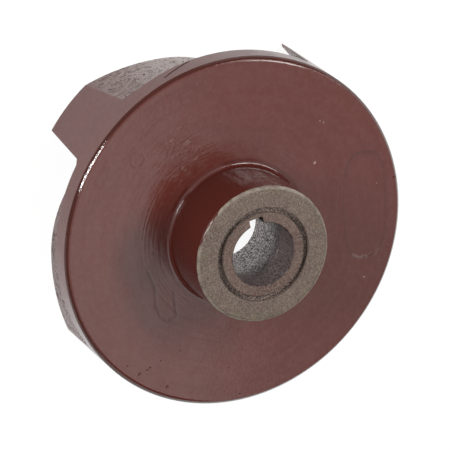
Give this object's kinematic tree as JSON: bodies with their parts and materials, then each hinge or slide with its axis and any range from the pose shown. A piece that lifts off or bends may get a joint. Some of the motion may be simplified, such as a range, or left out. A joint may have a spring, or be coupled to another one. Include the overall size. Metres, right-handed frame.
{
  "type": "pump impeller",
  "caption": "Semi-open cast pump impeller: a round plate with long curved vanes on one face and a keyed hub with a seal groove on the other.",
  "frame": {"origin": "on the bore's axis, in the plane of the vanes' free edges", "axes": "+Z along the bore's axis towards the hub's faced end; +X through the keyway"},
  "size_m": [0.1588, 0.1588, 0.0726],
  "materials": {
    "casting": "semi-gloss red-brown primer paint over cast iron, bare turned iron on the hub's end"
  },
  "bodies": {
    "root": {"impeller": "casting"}
  },
  "joints": []
}
